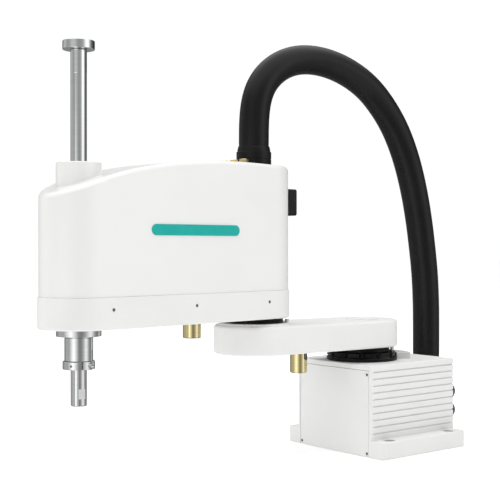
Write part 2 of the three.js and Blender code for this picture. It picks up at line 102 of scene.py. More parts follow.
def rounded(points, closed=True, seg=3):
    """points are (r, z) or (r, z, radius); corners with a radius become arcs."""
    out = []
    n = len(points)
    for i, p in enumerate(points):
        rad = p[2] if len(p) > 2 else 0.0
        if rad <= 0 or (not closed and i in (0, n - 1)):
            out.append((p[0], p[1]))
            continue
        a, b = Vector(points[i - 1][:2]), Vector(points[(i + 1) % n][:2])
        c = Vector(p[:2])
        u, v = (a - c), (b - c)
        lu, lv = u.length, v.length
        u, v = u / lu, v / lv
        half = math.acos(max(-1, min(1, u.dot(v)))) / 2
        t = min(rad / math.tan(half), 0.48 * lu, 0.48 * lv)
        rad = t * math.tan(half)
        centre = c + (u + v).normalized() * (rad / math.sin(half))
        s, e = c + u * t - centre, c + v * t - centre
        a0 = math.atan2(s.y, s.x)
        sweep = math.atan2(e.y, e.x) - a0
        while sweep > math.pi:
            sweep -= 2 * math.pi
        while sweep < -math.pi:
            sweep += 2 * math.pi
        for k in range(seg + 1):
            w = a0 + sweep * k / seg
            out.append((centre.x + rad * math.cos(w), centre.y + rad * math.sin(w)))
    return out


def lathe(points, n=64, centre=(0.0, 0.0), seg=3, shape=None, turn=0.0):
    """Solid of revolution. Its profile runs counterclockwise in (r, z): along the bottom outwards, then up the outside.
    A profile that starts and ends on the axis makes a solid, any other makes a ring. shape(angle, r, z) changes the radius."""
    solid_axis = points[0][0] < 1e-6 and points[-1][0] < 1e-6
    prof = rounded(points, closed=not solid_axis, seg=seg)
    verts, faces, rings = [], [], []
    for r, z in prof:
        if r < 1e-6:
            verts.append((centre[0], centre[1], z))
            rings.append([len(verts) - 1] * n)
            continue
        ring = []
        for i in range(n):
            a = 2 * math.pi * i / n + turn
            q = shape(a, r, z) if shape else r
            verts.append((centre[0] + q * math.cos(a), centre[1] + q * math.sin(a), z))
            ring.append(len(verts) - 1)
        rings.append(ring)
    count = len(rings)
    for k in range(count - 1 if solid_axis else count):
        a, b = rings[k], rings[(k + 1) % count]
        for i in range(n):
            j = (i + 1) % n
            f = []
            for v in (a[i], a[j], b[j], b[i]):
                if v not in f:
                    f.append(v)
            if len(f) > 2:
                faces.append(tuple(f))
    return verts, faces


def moved(part, matrix):
    return [tuple(matrix @ Vector(v)) for v in part[0]], part[1]


def joined(*parts):
    verts, faces = [], []
    for v, f in parts:
        o = len(verts)
        verts += v
        faces += [tuple(i + o for i in x) for x in f]
    return verts, faces


def along(axis, origin):
    """Matrix that takes a part made along +Z to stand at origin and point along axis."""
    return Matrix.Translation(origin) @ Vector(axis).to_track_quat("Z", "Y").to_matrix().to_4x4()


def box(x0, x1, y0, y1, z0, z1, r=0.0, seg=2):
    bm = bmesh.new()
    bmesh.ops.create_cube(bm, size=1.0)
    for v in bm.verts:
        v.co = Vector(((x0 + x1) / 2 + v.co.x * (x1 - x0), (y0 + y1) / 2 + v.co.y * (y1 - y0), (z0 + z1) / 2 + v.co.z * (z1 - z0)))
    if r > 0:
        bmesh.ops.bevel(bm, geom=list(bm.edges), offset=r, segments=seg, profile=0.5, affect="EDGES", clamp_overlap=True)
    bm.verts.index_update()
    out = ([tuple(v.co) for v in bm.verts], [tuple(v.index for v in f.verts) for f in bm.faces])
    bm.free()
    return out


def round_rect(x0, x1, y0, y1, r, k=8):
    pts = []
    for cx, cy, a0 in ((x1 - r, y0 + r, -90), (x1 - r, y1 - r, 0), (x0 + r, y1 - r, 90), (x0 + r, y0 + r, 180)):
        for i in range(k + 1):
            a = math.radians(a0 + 90 * i / k)
            pts.append((cx + r * math.cos(a), cy + r * math.sin(a)))
    return pts


def slab(x0, x1, y0, y1, r, z0, z1, low=0.6, high=0.6, seg=3, k=8):
    """Plate with round upright corners and softened edges."""
    rings = []
    for i in range(seg + 1):
        w = math.pi / 2 * i / seg
        d = low * (1 - math.sin(w))
        rings.append([(x, y, z0 + low * (1 - math.cos(w))) for x, y in round_rect(x0 + d, x1 - d, y0 + d, y1 - d, max(r - d, 0.1), k)])
    for i in range(seg + 1):
        w = math.pi / 2 * i / seg
        d = high * (1 - math.cos(w))
        rings.append([(x, y, z1 - high * (1 - math.sin(w))) for x, y in round_rect(x0 + d, x1 - d, y0 + d, y1 - d, max(r - d, 0.1), k)])
    return loft(rings)


def tapered(xa, ra, xb, rb, off=0.0, na=32, ns=1):
    ra, rb = ra - off, rb - off
    t = math.acos((ra - rb) / (xb - xa))
    pts = [(xb + rb * math.cos(-t + 2 * t * i / na), rb * math.sin(-t + 2 * t * i / na)) for i in range(na + 1)]
    p0, p1 = pts[-1], (xa + ra * math.cos(t), ra * math.sin(t))
    pts += [(p0[0] + (p1[0] - p0[0]) * i / ns, p0[1] + (p1[1] - p0[1]) * i / ns) for i in range(1, ns)]
    pts += [(xa + ra * math.cos(t + 2 * (math.pi - t) * i / na), ra * math.sin(t + 2 * (math.pi - t) * i / na)) for i in range(na + 1)]
    p0, p1 = pts[-1], pts[0]
    pts += [(p0[0] + (p1[0] - p0[0]) * i / ns, p0[1] + (p1[1] - p0[1]) * i / ns) for i in range(1, ns)]
    return pts


def link(xa, ra, xb, rb, z0, z1, low, high, seg=6, na=32):
    rings = []
    for i in range(seg + 1):
        w = math.pi / 2 * i / seg
        rings.append([(x, y, z0 + low * (1 - math.cos(w))) for x, y in tapered(xa, ra, xb, rb, low * (1 - math.sin(w)), na)])
    for i in range(seg + 1):
        w = math.pi / 2 * i / seg
        rings.append([(x, y, z1 - high * (1 - math.sin(w))) for x, y in tapered(xa, ra, xb, rb, high * (1 - math.cos(w)), na)])
    return loft(rings)


def hex_radius(a, flat):
    return flat / math.cos((a % (math.pi / 3)) - math.pi / 6)


def screw(r, h, flat, depth, edge=0.35, n=24):
    """Socket head along +Z, from 0 to h, with a real hexagon socket."""
    prof = [(0, 0), (r, 0, 0.15), (r, h, edge), (r * 0.86, h)]
    prof = rounded(prof, closed=False, seg=3)
    verts, faces, rings = [], [], []
    verts.append((0, 0, 0))
    rings.append([0] * n)
    for q, z in prof[1:]:
        ring = []
        for i in range(n):
            a = 2 * math.pi * i / n
            verts.append((q * math.cos(a), q * math.sin(a), z))
            ring.append(len(verts) - 1)
        rings.append(ring)
    for f, z in ((flat * 1.06, h), (flat, h - 0.15), (flat, h - depth)):
        ring = []
        for i in range(n):
            a = 2 * math.pi * i / n
            q = hex_radius(a, f)
            verts.append((q * math.cos(a), q * math.sin(a), z))
            ring.append(len(verts) - 1)
        rings.append(ring)
    verts.append((0, 0, h - depth - flat * 0.4))
    rings.append([len(verts) - 1] * n)
    for a, b in zip(rings, rings[1:]):
        for i in range(n):
            j = (i + 1) % n
            f = []
            for v in (a[i], a[j], b[j], b[i]):
                if v not in f:
                    f.append(v)
            if len(f) > 2:
                faces.append(tuple(f))
    return verts, faces


def rod(r, z0, z1, n=32, centre=(0, 0), edge=0.0):
    return lathe([(0, z0), (r, z0, edge), (r, z1, edge), (0, z1)], n, centre)


def temp(part):
    me = bpy.data.meshes.new("temp")
    me.from_pydata(part[0], [], part[1])
    me.update()
    o = bpy.data.objects.new("temp", me)
    scene.collection.objects.link(o)
    return o


def cut(part, *tools, union=()):
    """part joined with the solids in union, less the solids in tools."""
    o = temp(part)
    helpers = []
    for op, group in (("UNION", union), ("DIFFERENCE", tools)):
        for t in group:
            h = temp(t)
            helpers.append(h)
            m = o.modifiers.new("cut", "BOOLEAN")
            m.operation, m.object, m.solver = op, h, "EXACT"
    dg = bpy.context.evaluated_depsgraph_get()
    me = bpy.data.meshes.new_from_object(o.evaluated_get(dg))
    out = ([tuple(v.co) for v in me.vertices], [tuple(f.vertices) for f in me.polygons])
    for h in helpers + [o]:
        data = h.data
        bpy.data.objects.remove(h)
        bpy.data.meshes.remove(data)
    bpy.data.meshes.remove(me)
    return out


def piece(name, part, matrix, material, body, replaces=(), angle=32.0, weld=0.004, even=True):
    me = bpy.data.meshes.new(name)
    me.from_pydata(part[0], [], part[1])
    bm = bmesh.new()
    bm.from_mesh(me)
    bmesh.ops.remove_doubles(bm, verts=bm.verts, dist=weld)
    bmesh.ops.dissolve_degenerate(bm, edges=bm.edges, dist=0.0005)
    bmesh.ops.recalc_face_normals(bm, faces=bm.faces)
    bm.to_mesh(me)
    bm.free()
    me.transform(matrix)
    me.shade_smooth()
    me.set_sharp_from_angle(angle=math.radians(angle))
    me.materials.append(material)
    o = bpy.data.objects.new(name, me)
    if even:
        level = o.modifiers.new("even_shading", "WEIGHTED_NORMAL")
        level.mode, level.weight, level.keep_sharp = "FACE_AREA", 50, True
    scene.collection.objects.link(o)
    if body:
        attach(o, body)
    if replaces:
        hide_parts(*replaces)
    return o


# ------------------------------------------------------------------ materials
def surface(name, colour, colour2, rough, rough2, metal=0.0, tint=(30, 30, 30), tint_detail=3.0,
            fine=(900, 900, 900), bump=0.05, depth=0.0002, specular=0.5, coat=0.0, coat_rough=0.1, fine_detail=2.0):
    """Two close tones and two roughnesses mixed by noise, and a fine bump. Scales are per metre along each axis."""
    m = bpy.data.materials.new(name)
    m.use_nodes = True
    nt = m.node_tree
    n, l = nt.nodes, nt.links
    b = n["Principled BSDF"]
    b.inputs["Metallic"].default_value = metal
    b.inputs["Specular IOR Level"].default_value = specular
    b.inputs["Coat Weight"].default_value = coat
    b.inputs["Coat Roughness"].default_value = coat_rough
    tc = n.new("ShaderNodeTexCoord")

    def noise(scale, detail, rough_=0.55):
        mp = n.new("ShaderNodeMapping")
        mp.inputs["Scale"].default_value = scale
        l.new(tc.outputs["Object"], mp.inputs["Vector"])
        t = n.new("ShaderNodeTexNoise")
        t.inputs["Scale"].default_value = 1.0
        t.inputs["Detail"].default_value = detail
        t.inputs["Roughness"].default_value = rough_
        l.new(mp.outputs["Vector"], t.inputs["Vector"])
        return t

    big = noise(tint, tint_detail)
    ramp = n.new("ShaderNodeValToRGB")
    ramp.color_ramp.elements[0].position = 0.3
    ramp.color_ramp.elements[1].position = 0.7
    ramp.color_ramp.elements[0].color = (*colour, 1)
    ramp.color_ramp.elements[1].color = (*colour2, 1)
    l.new(big.outputs["Fac"], ramp.inputs["Fac"])
    l.new(ramp.outputs["Color"], b.inputs["Base Color"])
    small = noise(fine, fine_detail)
    mr = n.new("ShaderNodeMapRange")
    mr.inputs["From Min"].default_value = 0.3
    mr.inputs["From Max"].default_value = 0.7
    mr.inputs["To Min"].default_value = rough
    mr.inputs["To Max"].default_value = rough2
    l.new(small.outputs["Fac"], mr.inputs["Value"])
    l.new(mr.outputs["Result"], b.inputs["Roughness"])
    bp = n.new("ShaderNodeBump")
    bp.inputs["Strength"].default_value = bump
    bp.inputs["Distance"].default_value = depth
    l.new(small.outputs["Fac"], bp.inputs["Height"])
    l.new(bp.outputs["Normal"], b.inputs["Normal"])
    return m


M = {
    "white_paint": surface("white_paint", (0.745, 0.745, 0.737), (0.77, 0.77, 0.762), 0.40, 0.52, fine=(1500, 1500, 1500), bump=0.12, depth=0.0002, tint=(14, 14, 14)),
    "white_cover": surface("white_cover", (0.76, 0.76, 0.752), (0.78, 0.78, 0.772), 0.28, 0.36, fine=(1100, 1100, 1100), bump=0.05, depth=0.0002, tint=(9, 9, 9), coat=0.15, coat_rough=0.22),
    "black_hose": surface("black_hose", (0.0068, 0.0068, 0.0070), (0.0088, 0.0088, 0.0090), 0.24, 0.32, fine=(420, 420, 60), bump=0.02, depth=0.0003, tint=(40, 40, 12), specular=0.14),
    "black_fitting": surface("black_fitting", (0.0055, 0.0055, 0.0057), (0.0080, 0.0080, 0.0083), 0.26, 0.38, fine=(1600, 1600, 1600), bump=0.08, depth=0.0002, specular=0.15),
    "black_anodised": surface("black_anodised", (0.0045, 0.0045, 0.0045), (0.0070, 0.0070, 0.0070), 0.26, 0.38, fine=(700, 700, 2600), bump=0.08, depth=0.00012, specular=0.12),
    "steel_ground": surface("steel_ground", (0.56, 0.565, 0.57), (0.60, 0.605, 0.61), 0.06, 0.09, metal=1.0, tint=(40, 40, 300), fine=(60, 60, 3000), bump=0.012, depth=0.00002, fine_detail=2.0),
    "steel_turned": surface("steel_turned", (0.55, 0.555, 0.56), (0.61, 0.615, 0.62), 0.08, 0.14, metal=1.0, tint=(60, 60, 1400), fine=(60, 60, 5200), bump=0.03, depth=0.00003, fine_detail=3.0),
    "steel_screw": surface("steel_screw", (0.14, 0.14, 0.145), (0.22, 0.22, 0.225), 0.26, 0.42, metal=1.0, tint=(500, 500, 500), fine=(2600, 2600, 2600), bump=0.12, depth=0.00008),
    "zinc_screw": surface("zinc_screw", (0.50, 0.50, 0.51), (0.64, 0.64, 0.65), 0.24, 0.38, metal=1.0, tint=(500, 500, 500), fine=(2600, 2600, 2600), bump=0.10, depth=0.00008),
    "brass_turned": surface("brass_turned", (0.63, 0.54, 0.285), (0.69, 0.595, 0.32), 0.04, 0.07, metal=1.0, tint=(50, 50, 700), fine=(60, 60, 4200), bump=0.012, depth=0.00003, fine_detail=2.0),
    "brass_fitting": surface("brass_fitting", (0.70, 0.57, 0.27), (0.80, 0.66, 0.33), 0.10, 0.16, metal=1.0, tint=(300, 300, 900), fine=(700, 700, 3800), bump=0.05, depth=0.00004),
    "aluminium": surface("aluminium", (0.62, 0.625, 0.625), (0.69, 0.695, 0.695), 0.38, 0.52, metal=0.55, tint=(60, 60, 60), fine=(260, 3000, 3000), bump=0.12, depth=0.00008),
    "motor_black": surface("motor_black", (0.022, 0.023, 0.026), (0.034, 0.035, 0.038), 0.42, 0.58, metal=0.2, fine=(1300, 1300, 1300), bump=0.30, depth=0.0002),
    "belt_rubber": surface("belt_rubber", (0.012, 0.012, 0.012), (0.022, 0.022, 0.022), 0.62, 0.80, fine=(1500, 1500, 420), bump=0.35, depth=0.0002, specular=0.25),
    "teal_paint": surface("teal_paint", (0.010, 0.350, 0.310), (0.014, 0.385, 0.340), 0.40, 0.50, specular=0.15, fine=(1500, 1500, 1500), bump=0.08, depth=0.0001, tint=(60, 60, 60)),
    "contact_gold": surface("contact_gold", (0.72, 0.50, 0.16), (0.84, 0.62, 0.24), 0.18, 0.3, metal=1.0, fine=(2600, 2600, 2600), bump=0.05, depth=0.00005),
}

# ------------------------------------------------------------------ conduit hose, first because it is the free cord
HOSE = [
    (-160.2, -13, 121.3), (-160.3, -13, 155), (-159.9, -13, 207), (-156.9, -13.02, 256), (-150.1, -13.1, 305), (-140.5, -13.2, 356), (-127.2, -13.3, 405),
    (-110.1, -13.4, 449), (-87.3, -13.6, 489), (-56.8, -13.9, 524), (-21.6, -14.2, 551), (23.4, -14.6, 569.8), (66.7, -14.9, 578), (105, -15.3, 577.6),
    (135.3, -15.5, 570.3), (160.8, -15.7, 557), (182.5, -15.9, 536.3), (194.2, -16, 512), (198.6, -16.04, 484), (199.3, -16.04, 455), (199.36, -16.04, 437.5),
]


def centripetal(points, per=14):
    """Centripetal Catmull-Rom curve through points, with reflected end tangents."""
    p = [Vector(q) for q in points]
    p = [p[0] * 2 - p[1]] + p + [p[-1] * 2 - p[-2]]
    out = []
    for i in range(1, len(p) - 2):
        a, b, c, d = p[i - 1], p[i], p[i + 1], p[i + 2]
        t0 = 0.0
        t1 = t0 + max((b - a).length, 1e-6) ** 0.5
        t2 = t1 + max((c - b).length, 1e-6) ** 0.5
        t3 = t2 + max((d - c).length, 1e-6) ** 0.5
        for k in range(per):
            t = t1 + (t2 - t1) * k / per
            a1 = a * ((t1 - t) / (t1 - t0)) + b * ((t - t0) / (t1 - t0))
            a2 = b * ((t2 - t) / (t2 - t1)) + c * ((t - t1) / (t2 - t1))
            a3 = c * ((t3 - t) / (t3 - t2)) + d * ((t - t2) / (t3 - t2))
            b1 = a1 * ((t2 - t) / (t2 - t0)) + a2 * ((t - t0) / (t2 - t0))
            b2 = a2 * ((t3 - t) / (t3 - t1)) + a3 * ((t - t1) / (t3 - t1))
            out.append(b1 * ((t2 - t) / (t2 - t1)) + b2 * ((t - t1) / (t2 - t1)))
    out.append(p[-2])
    return out


def resample(path, step):
    total = [0.0]
    for a, b in zip(path, path[1:]):
        total.append(total[-1] + (b - a).length)
    count = max(2, round(total[-1] / step))
    out, k = [], 0
    for i in range(count + 1):
        s = total[-1] * i / count
        while k < len(path) - 2 and total[k + 1] < s:
            k += 1
        w = (s - total[k]) / max(total[k + 1] - total[k], 1e-9)
        out.append(path[k].lerp(path[k + 1], min(max(w, 0), 1)))
    return out, total[-1]


def smooth_path(path, rounds):
    for _ in range(rounds):
        path = [path[0]] + [(path[i - 1] + path[i] * 2 + path[i + 1]) / 4 for i in range(1, len(path) - 1)] + [path[-1]]
    return path


def sweep(path, radius, n=40, side=Vector((0, 1, 0)), first=None, last=None, hollow=0.0):
    """Tube along path. radius is a number or a function of the share of the path."""
    rings, inner = [], []
    for i, p in enumerate(path):
        t = (path[min(i + 1, len(path) - 1)] - path[max(i - 1, 0)]).normalized()
        if i == 0 and first:
            t = Vector(first)
        if i == len(path) - 1 and last:
            t = Vector(last)
        u = (side - t * side.dot(t)).normalized()
        v = t.cross(u)
        r = radius(i / (len(path) - 1)) if callable(radius) else radius
        rings.append([tuple(p + (u * math.cos(2 * math.pi * k / n) + v * math.sin(2 * math.pi * k / n)) * r) for k in range(n)])
        if hollow:
            inner.append([tuple(p + (u * math.cos(2 * math.pi * k / n) + v * math.sin(2 * math.pi * k / n)) * hollow) for k in range(n)])
    if hollow:
        return loft(rings + inner[::-1], closed=True)
    return loft(rings)


route, hose_length = resample(smooth_path(resample(centripetal(HOSE), 5.0)[0], 6), 5.0)
HOSE_R = 21.3


def hose_radius(share):
    """Plain tube, drawn in slightly where each gland grips it."""
    s = min(share, 1 - share) * hose_length
    return HOSE_R - 0.35 * math.exp(-((s / 7.0) ** 2))


hose = piece("hose_conduit", sweep(route, hose_radius, n=56, first=(0, 0, 1), last=(0, 0, -1)), BASE, M["black_hose"], None, angle=50, even=False)
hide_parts("conduit_hose")
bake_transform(hose)


# ------------------------------------------------------------------ base
def base_outline(groove, d=0.0):
    """Outline of the base body, with both sides drawn in by groove behind the front corner, all drawn in by d."""
    xf, xr, h, rc = 59.5 - d, -119.4 + d, 79.1 - d, max(1.8 - d, 0.25)
    left = []
    for i in range(7):
        a = math.radians(90 * i / 6)
        left.append((xf - rc + rc * math.cos(a), h - rc + rc * math.sin(a)))
    left += [(55.9, h), (55.5, h - groove * 0.35), (55.3, h - groove)]
    for i in range(7):
        a = math.radians(90 + 90 * i / 6)
        left.append((xr + rc + rc * math.cos(a), h - groove - rc + rc * math.sin(a)))
    right = [(x, -y) for x, y in reversed(left)]
    return left + right


rings = [[(x, y, 0.0) for x, y in base_outline(0, 0.5)], [(x, y, 0.5) for x, y in base_outline(0)]]
for i in range(9, -1, -1):
    z = 122.2 - 9.84 * i
    for dz, g in ((-1.25, 0.0), (-0.95, 0.3), (-0.8, 2.0), (0.8, 2.0), (0.95, 0.3), (1.25, 0.0)):
        rings.append([(x, y, z + dz) for x, y in base_outline(g)])
for i in range(6):
    w = math.pi / 2 * i / 5
    rings.append([(x, y, 131.7 - 1.6 * (1 - math.sin(w))) for x, y in base_outline(0, 1.6 * (1 - math.cos(w)))])
body = loft(rings)
lugs = slab(-119.4, 59.5, -102, 102, 5.5, 0.0, 24.0, low=0.5, high=1.5, seg=4, k=8)
foot_hole = [(0, -2), (4.6, -2), (4.6, 18), (8.4, 18), (8.4, 23.3), (9.6, 24.5), (9.6, 27), (0, 27)]
tools = [lathe(foot_hole, 40, (x, s * 88.5)) for x in (33, -95) for s in (-1, 1)]
tools.append(box(56.1, 66, -73.5, 73.5, -2, 124.4))
tools.append(box(-130, -116.1, -73.1, 73.1, 5.6, 122.4))
tools.append(box(-125, 60, -68, 68, 10, 118))
tools.append(rod(40, 110, 140, 48))
tools.append(lathe([(0, 130.9), (41, 130.9), (42, 131.9), (42, 140), (0, 140)], 48))
body = cut(body, *tools, union=[lugs])
base_piece = piece("base_body", body, BASE, M["white_paint"], "base", ["base_casting"])
base_piece.data.materials.append(M["aluminium"])
for f in base_piece.data.polygons:
    for hx in (33, -95):
        for hy in (-88.5, 88.5):
            if math.hypot(f.center.x / MM - hx, f.center.y / MM - hy) < 8.9 and 0.5 < f.center.z / MM < 23.6:
                f.material_index = 1

plate = slab(0.2, 123.9, -72.8, 72.8, 1.2, 0, 3.0, low=0.2, high=0.5, seg=3, k=4)
to_front = Matrix(((0, 0, 1, 56.5), (0, 1, 0, 0), (-1, 0, 0, 124.1), (0, 0, 0, 1)))
plate = moved(plate, to_front)
spots = [(69.6, 118.4), (-69.6, 118.4), (69.6, 5), (-69.6, 5)]
plate = cut(plate, *[moved(lathe([(0, 0), (2.2, 0), (2.2, 2.4), (2.7, 3), (2.7, 5), (0, 5)], 20), along((1, 0, 0), (57.1, y, z))) for y, z in spots])
piece("front_plate", plate, BASE, M["white_paint"], "base", ["front_cover"])
for i, (y, z) in enumerate(spots):
    piece(f"front_plate_screw_{i + 1}", moved(screw(1.95, 1.7, 0.95, 1.0, edge=0.5), along((1, 0, 0), (57.4, y, z))), BASE,
          M["steel_screw"], "base", [f"front_cover_screw_{i + 1}"])

panel = slab(6.0, 122.0, -72.7, 72.7, 1.2, 0, 3.0, low=0.2, high=0.6, seg=3, k=4)
to_rear = Matrix(((0, 0, -1, -116.4), (0, -1, 0, 0), (-1, 0, 0, 128.0), (0, 0, 0, 1)))
panel = moved(panel, to_rear)
rear_spots = [(68.0, 117.5), (-68.0, 117.5), (68.0, 10.5), (-68.0, 10.5)]
holes = [moved(lathe([(0, 0), (2.2, 0), (2.2, 2.4), (2.7, 3), (2.7, 5), (0, 5)], 20), along((-1, 0, 0), (-117.0, y, z))) for y, z in rear_spots]
holes.append(moved(rod(15, -6, 6, 40), along((1, 0, 0), (-118, -13, 70))))
piece("rear_plate", cut(panel, *holes), BASE, M["white_paint"], "base", ["rear_panel"])
piece("rear_plate_screws", joined(*[moved(screw(1.95, 1.7, 0.95, 1.0, edge=0.5), along((-1, 0, 0), (-117.3, y, z))) for y, z in rear_spots]), BASE,
      M["steel_screw"], "base")

for name, node, z, pins in (("signal_connector", "rear_signal_connector", 75.9, 12), ("power_connector", "rear_power_connector", 46.7, 4)):
    def grip(a, r, z_):
        return r - (0.45 if r > 12.9 and 9.0 < z_ < 26.5 and math.cos(a * 30) < 0 else 0.0)
    shell = lathe([(10, 20), (10.6, 19.4), (10.6, 13), (0.01, 13), (0.01, 0), (14.5, 0), (14.5, 6.0, 0.8), (12.2, 6.6), (12.2, 8.0), (13, 8.6),
                   (13, 9.6), (13, 26.0), (13, 30.4, 0.3), (12.6, 31.7, 0.5), (10, 31.7, 0.5)], 120, shape=grip)
    part = moved(shell, along((-1, 0, 0), (-119.7, 42.5, z)))
    piece(name, part, BASE, M["black_fitting"], "base", [node], angle=28)
    spots_p = [(0.0, 0.0)] if pins == 12 else []
    ring_n = pins - len(spots_p)
    spots_p += [((6.4 if pins == 12 else 4.2) * math.cos(2 * math.pi * k / ring_n), (6.4 if pins == 12 else 4.2) * math.sin(2 * math.pi * k / ring_n)) for k in range(ring_n)]
    contacts = [moved(rod(0.55 if pins == 12 else 1.1, 0, 7.5, 12, edge=0.3), along((-1, 0, 0), (-132.4, 42.5 + a, z + b))) for a, b in spots_p]
    piece(name + "_pins", joined(*contacts), BASE, M["contact_gold"], "base")

# elbow behind the base, flanged to the rear plate and carrying the lower gland
arc = [Vector((-119.7, -13, 70)), Vector((-125, -13, 70))]
for i in range(25):
    a = math.pi / 2 * i / 24
    arc.append(Vector((-130.2 - 30 * math.sin(a), -13, 70 + 30 - 30 * math.cos(a))))
arc.append(Vector((-160.2, -13, 104)))
elbow = sweep(arc, 19.0, n=56, first=(-1, 0, 0), last=(0, 0, 1), hollow=14.6)
flange = moved(lathe([(14.6, 0), (25, 0, 0.3), (25, 5, 0.9), (20.6, 5.2), (19.1, 7.2), (14.6, 7.2)], 72), along((-1, 0, 0), (-119.7, -13, 70)))
band = lathe([(18.6, 96), (20.6, 96.6, 0.5), (20.6, 104, 0.6), (18.6, 104)], 72, (-160.2, -13))
piece("conduit_elbow_body", joined(elbow, flange, band), BASE, M["black_fitting"], "base", ["conduit_elbow"], angle=40)
bolts = []
for k in range(4):
    a = math.radians(45 + 90 * k)
    bolts.append(moved(screw(1.7, 2.2, 0.9, 1.2), along((-1, 0, 0), (-124.6, -13 + 22.4 * math.cos(a), 70 + 22.4 * math.sin(a)))))
piece("conduit_elbow_screws", joined(*bolts), BASE, M["zinc_screw"], "base")


def ribs(count, low, high, deep, edge=24.0):
    def f(a, r, z):
        if r > edge and low < z < high:
            return r - deep * (0.5 + 0.5 * math.cos(a * count)) ** 3
        return r
    return f


gland = lathe([(15, 104.3), (21.4, 104.3, 0.5), (24.7, 106.6, 0.6), (24.7, 107.6), (24.7, 112), (24.7, 117), (24.7, 118.2, 0.5), (22.3, 121.0, 0.8), (15, 121.0)], 144, (-160.2, -13),
              shape=ribs(24, 107.0, 117.5, 0.7))
piece("conduit_gland_rear", gland, BASE, M["black_fitting"], "base", ["conduit_gland_lower"], angle=40)

def sector(inner, outer_, a0, a1, z, d, n=28):
    """Ring sector at height z, all its sides drawn in by d."""
    pts = []
    for q, f, t in ((outer_ - d, a0, a1), (inner + d, a1, a0)):
        sh = d / q
        lo, hi = (f + sh, t - sh) if f < t else (f - sh, t + sh)
        pts += [(q * math.cos(lo + (hi - lo) * i / n), q * math.sin(lo + (hi - lo) * i / n), z) for i in range(n + 1)]
    return pts


S0, S1 = math.radians(147.5), math.radians(212.5)
block = loft([sector(54.6, 75.6, S0, S1, z, d) for z, d in ((132.0, 0.2), (132.2, 0), (140.8, 0), (141.1, 0.12), (141.35, 0.35), (141.5, 0.7))])
block_spots = [(65.2 * math.cos(math.radians(a)), 65.2 * math.sin(math.radians(a))) for a in (158, 180, 202)]
block = cut(block, *[lathe([(0, 137.5), (2.6, 137.5), (2.6, 140.8), (3.3, 141.6), (3.3, 145), (0, 145)], 24, q) for q in block_spots])
piece("top_block", block, BASE, M["aluminium"], "base", ["base_top_block"])
piece("top_block_screws", joined(*[moved(screw(2.4, 2.6, 1.2, 1.4), Matrix.Translation((x, y, 137.7))) for x, y in block_spots]), BASE, M["steel_screw"], "base")

# ------------------------------------------------------------------ first axis reducer
ring = lathe([(30, 126), (39, 126, 0.4), (39, 132.0), (53.4, 132.0, 0.4), (53.4, 136.2, 0.8), (50.2, 138.6, 0.5), (50.2, 144.4, 0.6), (30, 144.4, 0.4)], 144)
scallops = [rod(4.4, 138.9, 150, 28, (51.5 * math.cos((i + 0.5) * math.pi / 6), 51.5 * math.sin((i + 0.5) * math.pi / 6))) for i in range(12)]
piece("j1_reducer_body", cut(ring, *scallops), BASE, M["black_anodised"], "base", ["j1_reducer_ring"])
piece("j1_reducer_bolts", joined(*[moved(screw(2.5, 2.6, 1.25, 1.4), Matrix.Translation((50.3 * math.cos((i + 0.5) * math.pi / 6), 50.3 * math.sin((i + 0.5) * math.pi / 6), 138.7))) for i in range(12)]),
      BASE, M["black_anodised"], "base")
collar = lathe([(0, 148), (29, 148), (29, 144.7), (41.8, 144.7, 0.5), (41.8, 147.9, 0.3), (41.3, 148.3), (41.3, 148.9), (41.8, 149.3, 0.3), (41.8, 152.2, 0.3), (0, 152.2)], 128)
piece("j1_output_collar", collar, ARM1, M["black_anodised"], "arm1", ["j1_output_flange"])
STOP = math.radians(140.9)
piece("j1_stop_bolt", moved(screw(2.7, 5.7, 1.4, 2.2, edge=0.5), Matrix.Translation((45.9 * math.cos(STOP), 45.9 * math.sin(STOP), 144.7))), BASE,
      M["zinc_screw"], "base", ["j1_stop_screw"])

# ------------------------------------------------------------------ inner arm
arm = link(0, 53.3, 200, 56.9, 152.5, 192.9, 4.0, 4.6)
cap_seat = lathe([(0, 191.3), (24.5, 191.3), (24.5, 192.4), (25.2, 193.1), (25.2, 196), (0, 196)], 72)
seat = lathe([(0, 172), (30.2, 172), (30.2, 195.0), (31.0, 195.8), (31.0, 200), (0, 200)], 72, (200, 0))
pad = lathe([(0, 187), (52.2, 187), (52.2, 192.88), (51.2, 193.2), (50.5, 193.8), (50.1, 194.6), (49.9, 195.1), (49.5, 195.5), (48.9, 195.7), (0, 195.7)], 112, (200, 0))
pocket = slab(60, 103, -38, 38, 8, 148, 182, low=0.1, high=2.5)
arm = cut(arm, cap_seat, seat, pocket, union=[pad])
piece("inner_arm", arm, ARM1, M["white_paint"], "arm1", ["arm1_link"])
cap = lathe([(0, 191.7), (24.1, 191.7), (24.1, 193.9, 0.7), (14.2, 193.9, 0.25), (13.6, 193.3, 0.25), (0, 193.3)], 96)
wells = [lathe([(0, 192.2), (2.7, 192.2), (2.7, 193.5), (3.1, 194.0), (3.1, 196), (0, 196)], 24, (19.2 * math.cos(i * math.pi / 4), 19.2 * math.sin(i * math.pi / 4))) for i in range(8)]
piece("inner_arm_cap", cut(cap, *wells), ARM1, M["white_paint"], "arm1", ["arm1_top_cap"])
piece("inner_arm_cap_screws", joined(*[moved(screw(2.3, 1.2, 1.1, 0.8), Matrix.Translation((19.2 * math.cos(i * math.pi / 4), 19.2 * math.sin(i * math.pi / 4), 192.25))) for i in range(8)]),
      ARM1, M["zinc_screw"], "arm1")


def pin(x, r, low, high):
    body_ = lathe([(0, low + 6.2), (0.02, low + 6.0), (3.9, low + 6.0), (3.9, low + 0.4), (4.4, low), (r - 0.9, low), (r, low + 0.9), (r, high, 0.2), (0, high)], 96, (x, 0),
                  shape=lambda a, q, z: hex_radius(a, 3.9) if abs(q - 3.9) < 1e-6 else q)
    return body_


